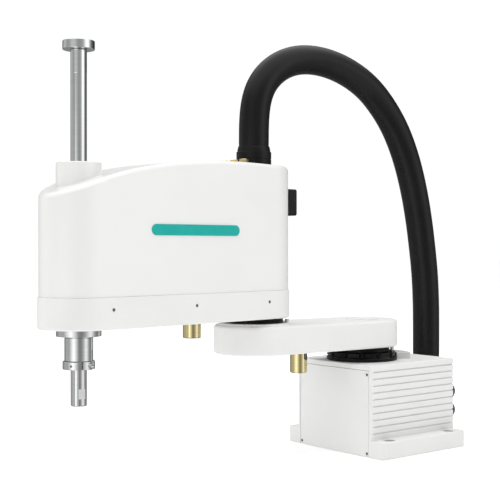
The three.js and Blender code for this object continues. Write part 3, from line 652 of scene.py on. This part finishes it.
piece("j1_pin", pin(120.7, 12.5, 119.3, 152.2), ARM1, M["brass_turned"], "arm1", ["j1_stop_pin"])
piece("j1_bumper", box(116.3, 118, 13.0, 15.2, 139, 152.2, 0.4, 3), ARM1, M["belt_rubber"], "arm1", ["j1_stop_bumper"])
ring2 = lathe([(27.5, 178), (29.6, 178, 0.4), (29.6, 196.0), (41.8, 196.0, 0.3), (41.8, 199, 0.4), (27.5, 199, 0.3)], 128, (200, 0))
piece("j2_reducer_body", ring2, ARM1, M["black_anodised"], "arm1", ["j2_reducer_ring"])
piece("j2_stop_bolt", moved(screw(2.7, 4.2, 1.4, 2.0, edge=0.5), Matrix.Translation((200 + 46.9 * math.cos(STOP - Q1), 46.9 * math.sin(STOP - Q1), 196.0))), ARM1,
      M["zinc_screw"], "arm1", ["j2_stop_screw"])

# ------------------------------------------------------------------ outer arm casting
casting = link(0, 50, 300, 50, 202.9, 242.0, 3.0, 1.1)
tray = link(0, 44.5, 300, 44.5, 212, 250, 3.0, 0.1, seg=3)
wells = [moved(lathe([(0, -1), (2.25, -1), (2.25, 3.3), (2.5, 3.6), (2.5, 8), (0, 8)], 24), along((0, s, 0), (x, s * 46.5, 227))) for x in (284.2, 151.3, 18.4) for s in (-1, 1)]
casting = cut(casting, tray, rod(12, 195, 215, 48), lathe([(0, 190), (18.3, 190), (18.3, 215), (0, 215)], 64, (300, 0)), *wells)
piece("outer_arm_casting", casting, ARM2, M["white_paint"], "arm2", ["arm2_casting"])
k = 1
for s in (1, -1):
    for x in (284.2, 151.3, 18.4):
        piece(f"cover_fixing_{k}", moved(screw(1.85, 2.6, 0.95, 1.4, edge=0.4), along((0, s, 0), (x, s * 46.9, 227))), ARM2, M["steel_screw"], "arm2", [f"cover_screw_{k}"])
        k += 1

# ------------------------------------------------------------------ outer arm cover
PROFILE = [(-56, 414), (-50, 414.6), (0, 416), (40, 416.7), (71, 416.9), (101, 416.4), (144, 413.8), (189, 409.2), (238, 400.8), (265, 394.6), (285, 389),
           (300, 383.8), (312, 379.3), (325, 374.3), (340, 368.3), (350, 364.2), (358, 360.8)]


def top(x):
    """Height of the cover over the length of the outer arm, smooth through the profile's points."""
    x = min(max(x, PROFILE[0][0]), PROFILE[-1][0])
    i = 0
    while i < len(PROFILE) - 2 and x > PROFILE[i + 1][0]:
        i += 1

    def slope(j):
        a, b = max(j - 1, 0), min(j + 1, len(PROFILE) - 1)
        return (PROFILE[b][1] - PROFILE[a][1]) / (PROFILE[b][0] - PROFILE[a][0])
    (x0, y0), (x1, y1) = PROFILE[i], PROFILE[i + 1]
    h = x1 - x0
    t = (x - x0) / h
    return (y0 * (2 * t ** 3 - 3 * t ** 2 + 1) + slope(i) * h * (t ** 3 - 2 * t ** 2 + t) + y1 * (-2 * t ** 3 + 3 * t ** 2) + slope(i + 1) * h * (t ** 3 - t ** 2))


def dome(radius, drop, foot, fillet, seg=9, na=40, ns=30, lip=0.0):
    """Closed solid under the cover's top surface, its upper edge rounded all the way round."""
    rings = [[(x, y, foot) for x, y in tapered(0, radius, 300, radius, lip, na, ns)]]
    if lip:
        rings.append([(x, y, foot + lip) for x, y in tapered(0, radius, 300, radius, 0, na, ns)])
    for i in range(seg + 1):
        w = math.pi / 2 * i / seg
        rings.append([(x, y, top(x) - drop - fillet * (1 - math.sin(w))) for x, y in tapered(0, radius, 300, radius, fillet * (1 - math.cos(w)), na, ns)])
    verts, faces = loft(rings, cap_high=False)
    n = len(rings[0])
    o = (len(rings) - 1) * n
    # strips across the arm, from the front tip to the rear tip
    pairs = [(o + na // 2 - m, o + na // 2 + m) for m in range(0, na // 2 + 1)]
    pairs += [(o + n - m, o + na + m) for m in range(1, ns)]
    rear = na + ns
    pairs += [(o + rear + na - m, o + rear + m) for m in range(0, na // 2 + 1)]
    for (a0, a1), (b0, b1) in zip(pairs, pairs[1:]):
        if a0 == a1:
            faces.append((a1, b1, b0))
        elif b0 == b1:
            faces.append((a0, a1, b1))
        else:
            faces.append((a0, a1, b1, b0))
    return verts, faces


cover = dome(48.4, 0.0, 242.08, 6.2, lip=0.2)
inside = dome(45.4, 3.0, 236.0, 5.0, seg=4, na=32, ns=16)
cover = cut(cover, inside, lathe([(0, 330), (25.5, 330), (25.5, 430), (0, 430)], 64, (300, 0)), rod(16, 400, 430, 48),
            *[rod(3.4, 400, 430, 20, (39, y)) for y in (-20, 0, 20)])
# round boss about the shaft, flared into the sloping top
boss_rings = []
BOSS_N = 128


def boss_ring(r, z=None, above=0.0):
    out = []
    for i in range(BOSS_N):
        a = 2 * math.pi * i / BOSS_N
        x, y = 300 + r * math.cos(a), r * math.sin(a)
        out.append((x, y, z if z is not None else top(x) + above))
    return out


FLARE = 2.2
boss_rings.append(boss_ring(14.0, above=-3.4))
boss_rings.append(boss_ring(27.6 + FLARE, above=-1.4))
for i in range(9):
    w = math.pi / 2 * i / 8
    boss_rings.append(boss_ring(27.6 + FLARE * (1 - math.sin(w)), above=FLARE * (1 - math.cos(w)) - 0.05))
for i in range(6):
    w = math.pi / 2 * i / 5
    boss_rings.append(boss_ring(27.6 - 1.6 * (1 - math.cos(w)), z=405.2 - 1.6 * (1 - math.sin(w))))
boss_rings.append(boss_ring(14.0, z=405.2))
boss_rings.append(boss_ring(13.3, z=404.9))
boss_rings.append(boss_ring(13.0, z=404.2))
boss_rings.append(boss_ring(13.0, above=-3.4))
boss = loft(boss_rings, closed=True)
piece("outer_arm_cover", joined(cover, boss), ARM2, M["white_cover"], "arm2", ["arm2_cover"], angle=40)

# ------------------------------------------------------------------ what stands on the cover
gland_top = lathe([(12.5, 406), (15.4, 406), (15.4, 417.3), (24.7, 417.3, 0.4), (24.7, 425.2, 0.3), (24.2, 425.6), (24.2, 426.2), (24.7, 426.6, 0.3), (24.7, 436.2, 0.5), (23.4, 436.6, 0.3),
                   (23.2, 439.4, 1.2), (22.5, 442.6, 1.0), (22.1, 444.2, 0.2), (21.75, 444.2), (21.75, 437.2), (12.5, 437.2)], 144)
piece("conduit_gland_front", gland_top, ARM2, M["black_fitting"], "arm2", ["conduit_gland_upper"], angle=40)
for i, y in enumerate((20, 0, -20)):
    nut = lathe([(1.8, 417.4), (5.8, 417.4), (6.3, 417.9), (6.3, 422.9), (5.8, 423.4), (4.5, 423.4), (4.2, 423.1), (4.2, 422.4), (1.8, 422.4)], 6, (39, y), turn=0.3 + 0.5 * i)
    stem = lathe([(1.8, 408), (3.1, 408), (3.1, 417.6), (1.8, 417.6)], 24, (39, y))
    neck = lathe([(1.8, 422.2), (3.6, 422.2), (3.6, 423.0, 0.2), (1.8, 423.0)], 32, (39, y))
    piece(f"air_port_{i + 1}", joined(nut, stem, neck), ARM2, M["brass_fitting"], "arm2", [f"air_fitting_{i + 1}"])

case = slab(0, 38.4, -16, 16, 3.2, 0, 27.7, low=0.3, high=1.4, seg=4, k=6)
to_back = Matrix(((0, 0, -1, -45), (0, -1, 0, 0), (-1, 0, 0, 386.0), (0, 0, 0, 1)))
case = moved(case, to_back)
mouth = moved(slab(7.5, 30.9, -11, 11, 2.2, 24.7, 33, low=0.1, high=0.1, k=5), to_back)
case = cut(case, lathe([(0, 300), (48.55, 300), (48.55, 420), (0, 420)], 96), mouth)
piece("user_socket", case, ARM2, M["black_fitting"], "arm2", ["user_connector"])
insert = moved(slab(9.0, 29.4, -9.4, 9.4, 1.6, 24.2, 26.4, low=0.1, high=0.4, k=5), to_back)
piece("user_socket_insert", insert, ARM2, M["motor_black"], "arm2")
contacts = [moved(rod(0.5, 0, 1.4, 10, edge=0.25), along((-1, 0, 0), (-71.3, -6.6 + 2.2 * (j % 7), 366.8 + (3.0 if j < 7 else -3.0)))) for j in range(14)]
piece("user_socket_pins", joined(*contacts), ARM2, M["contact_gold"], "arm2")
piece("user_socket_screws", joined(*[moved(screw(1.5, 0.9, 0.75, 0.5), along((-1, 0, 0), (-72.1, 0, z))) for z in (351.2, 382.4)]), ARM2, M["zinc_screw"], "arm2")

bar = []
for d, y in ((0.0, 48.3), (0.0, 49.25), (0.25, 49.5)):
    pts = []
    for cx, a0 in ((218 + 0.0, -90), (82.0, 90)):
        for i in range(17):
            a = math.radians(a0 + 180 * i / 16)
            pts.append((cx + (7 - d) * math.cos(a), y, 324 + (7 - d) * math.sin(a)))
    bar.append(pts[::-1])
piece("colour_bar", loft(bar), ARM2, M["teal_paint"], "arm2", ["accent_bar"])

# ------------------------------------------------------------------ under the outer arm
flange2 = lathe([(11.5, 199.3), (41.2, 199.3, 0.4), (41.2, 202.6, 0.3), (11.5, 202.6)], 128)
piece("j2_output_plate", flange2, ARM2, M["black_anodised"], "arm2", ["j2_output_flange"])
piece("j2_pin", pin(116.5, 12.25, 180.5, 202.6), ARM2, M["brass_turned"], "arm2", ["j2_stop_pin"])
seal = lathe([(18, 193.7), (27.6, 193.7, 0.7), (27.6, 202.6, 0.3), (18, 202.6)], 112)
bores = [lathe([(0, 190), (2.5, 190), (2.5, 196.6), (0, 196.6)], 20, (22.6 * math.cos(i * math.pi / 3 + 0.3), 22.6 * math.sin(i * math.pi / 3 + 0.3))) for i in range(6)]
piece("nut_flange", cut(seal, *bores), TOOL, M["steel_turned"], "arm2", ["spline_bearing_flange"])
piece("nut_flange_screws", joined(*[moved(screw(2.2, 2.2, 1.1, 1.3), along((0, 0, -1), (22.6 * math.cos(i * math.pi / 3 + 0.3), 22.6 * math.sin(i * math.pi / 3 + 0.3), 196.4))) for i in range(6)]),
      TOOL, M["steel_screw"], "arm2")
nut = lathe([(10.6, 164.8), (13.2, 164.8), (13.2, 163.8, 0.2), (17.5, 163.8, 0.7), (17.5, 191.6, 0.3), (17.1, 192.0), (17.1, 192.6), (17.5, 193.0, 0.3), (17.5, 215.4, 0.5), (10.6, 215.4)], 112)
piece("spline_nut_body", nut, TOOL, M["steel_ground"], "spline_nut", ["spline_nut"])


# ------------------------------------------------------------------ spline shaft and what is clamped on it
def shaft_section(r, z, edge=0.0, n=144):
    """Round section with four straight ball grooves, open at the lower end and stopped below the top cap."""
    open_ = min(max((514 - z) / 0.8, 0.0), 1.0)
    out = []
    for i in range(n):
        a = 2 * math.pi * i / n
        q = r - edge
        for g in range(4):
            off = (a - math.radians(33.7 + 90 * g) + math.pi) % (2 * math.pi) - math.pi
            if abs(off) < 0.19:
                q -= 0.55 * open_ * math.sqrt(max(0.0, 1 - (off / 0.19) ** 2))
        out.append((q * math.cos(a), q * math.sin(a), z))
    return out


levels = [(108.5, 1.1), (108.8, 0.55), (109.6, 0.0), (130.9, 0), (133, 0), (135, 0), (137, 0), (139, 0), (141, 0), (143, 0), (180, 0), (260, 0), (340, 0), (420, 0), (500, 0), (513.2, 0), (513.6, 0), (514, 0), (542.4, 0), (542.5, 0.1)]
outer = [shaft_section(10, z, e) for z, e in levels]
inner = [[(4.5 * math.cos(2 * math.pi * i / 144), 4.5 * math.sin(2 * math.pi * i / 144), z) for i in range(144)] for z in (542.5, 109.1)]
inner.append([(5.0 * math.cos(2 * math.pi * i / 144), 5.0 * math.sin(2 * math.pi * i / 144), 108.5) for i in range(144)])
shaft = loft(outer + inner, closed=True)
flat_cut = moved(box(9, 14, -14, 14, 117.7, 129.7), Matrix.Rotation(math.radians(79), 4, "Z"))
piece("tool_shaft", cut(shaft, flat_cut), TOOL, M["steel_ground"], "shaft", ["spline_shaft"], angle=24)
piece("shaft_end_cap", lathe([(0, 542.8), (19.7, 542.8, 0.6), (19.7, 553.5, 1.1), (5.2, 553.5, 0.3), (4.6, 551.8), (0, 551.8)], 112), TOOL, M["steel_turned"], "shaft", ["shaft_top_cap"])
SLIT = math.radians(67 - 90)
ring3 = lathe([(10.3, 153.6, 0.3), (19.7, 153.6, 0.6), (19.7, 163.5, 0.6), (10.3, 163.5, 0.3)], 112)
tools = [moved(box(-0.95, 0.95, 5, 25, 150, 170), Matrix.Rotation(SLIT, 4, "Z"))]
tools.append(moved(lathe([(0, 7.6), (3.4, 7.6), (3.4, 25), (0, 25)], 28), Matrix.Rotation(SLIT, 4, "Z") @ along((-1, 0, 0), (0, 15, 158.5))))
tools.append(moved(lathe([(0, 13), (1.5, 13), (1.5, 25), (0, 25)], 20), along((math.cos(math.radians(26.6)), math.sin(math.radians(26.6)), 0), (0, 0, 158.5))))
piece("split_collar", cut(ring3, *tools), TOOL, M["steel_turned"], "shaft", ["clamp_collar"])
piece("split_collar_screw", moved(screw(3.0, 3.5, 1.5, 2.0), Matrix.Rotation(SLIT, 4, "Z") @ along((-1, 0, 0), (-7.9, 15, 158.5))), TOOL, M["zinc_screw"], "shaft", ["clamp_screw"])


# ------------------------------------------------------------------ drives inside the covers
def servo(x, y, half, z0, z1, boss_r, bore=8.0, n=3):
    """Square servo motor: mounting face, finned case, rear cap with its plugs."""
    parts = [slab(x - half, x + half, y - half, y + half, 3.0, z0, z0 + 7, 0.3, 0.6, seg=2, k=5)]
    rings_ = []
    z = z0 + 6.8
    end = z1 - 24
    pitch = 5.2
    outline = lambda d: round_rect(x - half + 1.5 + d, x + half - 1.5 - d, y - half + 1.5 + d, y + half - 1.5 - d, 5.0, 5)
    rings_.append([(a, b, z) for a, b in outline(0)])
    while z + pitch < end:
        for dz, d in ((pitch - 1.6, 0), (pitch - 1.4, 0.9), (pitch - 0.2, 0.9), (pitch, 0)):
            rings_.append([(a, b, z + dz) for a, b in outline(d)])
        z += pitch
    rings_.append([(a, b, end) for a, b in outline(0)])
    parts.append(loft(rings_))
    parts.append(slab(x - half + 3, x + half - 3, y - half + 3, y + half - 3, 6.0, end - 0.2, z1, 0.1, 2.0, seg=3, k=6))
    parts.append(box(x - 7, x + 7, y + half - 3.5, y + half - 0.2, z1 - 18, z1 - 8, 0.6))
    return joined(*parts)


def motor_piece(name, x, y, half, z0, z1, node, matrix, body_):
    piece(name, servo(x, y, half, z0, z1, 12), matrix, M["motor_black"], body_, [node])


motor_piece("j2_servo", 0, 0, 27, 222.5, 345, "j2_motor", ARM2, "arm2")
motor_piece("j3_servo", 215, 0, 24, 272.2, 354, "j3_motor", ARM2, "arm2")
motor_piece("j4_servo", 120, 0, 24, 272.2, 342, "j4_motor", ARM2, "arm2")

for node, key in (("j1_motor", "motor_black"), ("j1_wave_generator", "steel_ground"), ("j2_wave_generator", "steel_ground"), ("motor_bracket", "aluminium"),
                  ("ball_nut_bearing", "steel_ground"), ("j3_belt", "belt_rubber"), ("j4_belt", "belt_rubber"), ("j3_motor_pulley", "aluminium"),
                  ("j4_motor_pulley", "aluminium"), ("ball_nut", "steel_ground"), ("spline_pulley", "aluminium")):
    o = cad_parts[node]
    o.data.materials.clear()
    o.data.materials.append(M[key])

# ------------------------------------------------------------------ floor, world and lights
floor_mesh = bpy.data.meshes.new("floor")
floor_mesh.from_pydata([(-20, -20, -0.0005), (20, -20, -0.0005), (20, 20, -0.0005), (-20, 20, -0.0005)], [], [(0, 1, 2, 3)])
floor = bpy.data.objects.new("floor", floor_mesh)
scene.collection.objects.link(floor)
floor_mat = surface("floor_white", (0.90, 0.90, 0.90), (0.92, 0.92, 0.92), 0.85, 0.95, fine=(80, 80, 80), bump=0.01, depth=0.0005, tint=(2, 2, 2), specular=0.0)
floor_mat.node_tree.nodes["Principled BSDF"].inputs["Emission Color"].default_value = (1, 1, 1, 1)
floor_mat.node_tree.nodes["Principled BSDF"].inputs["Emission Strength"].default_value = FLOOR_GLOW
floor_mesh.materials.append(floor_mat)
floor.visible_glossy = False

world = bpy.data.worlds.new("studio")
scene.world = world
world.use_nodes = True
wn, wl = world.node_tree.nodes, world.node_tree.links
wn.clear()
coord = wn.new("ShaderNodeTexCoord")
spin = wn.new("ShaderNodeVectorRotate")
spin.rotation_type = "Z_AXIS"
spin.inputs["Angle"].default_value = -FACING
wl.new(coord.outputs["Generated"], spin.inputs["Vector"])
split = wn.new("ShaderNodeSeparateXYZ")
wl.new(spin.outputs["Vector"], split.inputs["Vector"])
azimuth = wn.new("ShaderNodeMath")
azimuth.operation = "ARCTAN2"
wl.new(split.outputs["Y"], azimuth.inputs[0])
wl.new(split.outputs["X"], azimuth.inputs[1])
share = wn.new("ShaderNodeMapRange")
share.inputs["From Min"].default_value = -math.pi
share.inputs["From Max"].default_value = math.pi
wl.new(azimuth.outputs["Value"], share.inputs["Value"])


def band_map(stops, smooth=True):
    """Brightness of the studio by direction: (degrees right of the viewer's side, brightness)."""
    ramp = wn.new("ShaderNodeValToRGB")
    ramp.color_ramp.interpolation = "EASE" if smooth else "LINEAR"
    e = ramp.color_ramp.elements
    while len(e) > 1:
        e.remove(e[-1])
    for i, (deg, v) in enumerate(stops):
        el = e[0] if i == 0 else e.new((deg + 180) / 360)
        el.position = (deg + 180) / 360
        el.color = (v / 2, v / 2, v / 2, 1)
    wl.new(share.outputs["Result"], ramp.inputs["Fac"])
    return ramp


def background(colour, strength):
    b_ = wn.new("ShaderNodeBackground")
    b_.inputs["Strength"].default_value = strength
    if colour is None:
        b_.inputs["Color"].default_value = (1, 1, 1, 1)
    else:
        wl.new(colour.outputs["Color"], b_.inputs["Color"])
    return b_


soft = background(band_map(SOFT), 2.0)
rise = wn.new("ShaderNodeMapRange")
rise.inputs["From Min"].default_value = -0.03
rise.inputs["From Max"].default_value = 0.14
wl.new(split.outputs["Z"], rise.inputs["Value"])
blend_rise = wn.new("ShaderNodeMixRGB")
wl.new(rise.outputs["Result"], blend_rise.inputs[0])
wl.new(band_map(SHEEN_LOW, False).outputs["Color"], blend_rise.inputs[1])
wl.new(band_map(SHEEN_HIGH, False).outputs["Color"], blend_rise.inputs[2])
zenith_rise = wn.new("ShaderNodeMapRange")
zenith_rise.inputs["From Min"].default_value = 0.45
zenith_rise.inputs["From Max"].default_value = 0.80
wl.new(split.outputs["Z"], zenith_rise.inputs["Value"])
blend_zenith = wn.new("ShaderNodeMixRGB")
blend_zenith.inputs[2].default_value = (ZENITH / 2, ZENITH / 2, ZENITH / 2, 1)
wl.new(zenith_rise.outputs["Result"], blend_zenith.inputs[0])
wl.new(blend_rise.outputs["Color"], blend_zenith.inputs[1])
sheen = background(blend_zenith, 2.0)
plain = background(None, 1.02)
path_node = wn.new("ShaderNodeLightPath")
mix_a, mix_b = wn.new("ShaderNodeMixShader"), wn.new("ShaderNodeMixShader")
wl.new(path_node.outputs["Is Glossy Ray"], mix_a.inputs["Fac"])
wl.new(soft.outputs["Background"], mix_a.inputs[1])
wl.new(sheen.outputs["Background"], mix_a.inputs[2])
wl.new(path_node.outputs["Is Camera Ray"], mix_b.inputs["Fac"])
wl.new(mix_a.outputs["Shader"], mix_b.inputs[1])
wl.new(plain.outputs["Background"], mix_b.inputs[2])
out = wn.new("ShaderNodeOutputWorld")
wl.new(mix_b.outputs["Shader"], out.inputs["Surface"])


def area(name, where, target, size, size_y, power, spread=math.pi):
    d = bpy.data.lights.new(name, "AREA")
    d.shape = "RECTANGLE"
    d.size, d.size_y = size, size_y
    d.energy = power
    d.spread = spread
    o = bpy.data.objects.new(name, d)
    o.location = where
    o.rotation_euler = (Vector(target) - Vector(where)).to_track_quat("-Z", "Y").to_euler()
    scene.collection.objects.link(o)
    return o


overhead = area("overhead", (0.25, 0.35, 2.7), (0.15, 0.05, 0.2), 2.4, 2.4, OVERHEAD)
overhead.visible_glossy = False

scene.view_settings.view_transform = "Standard"
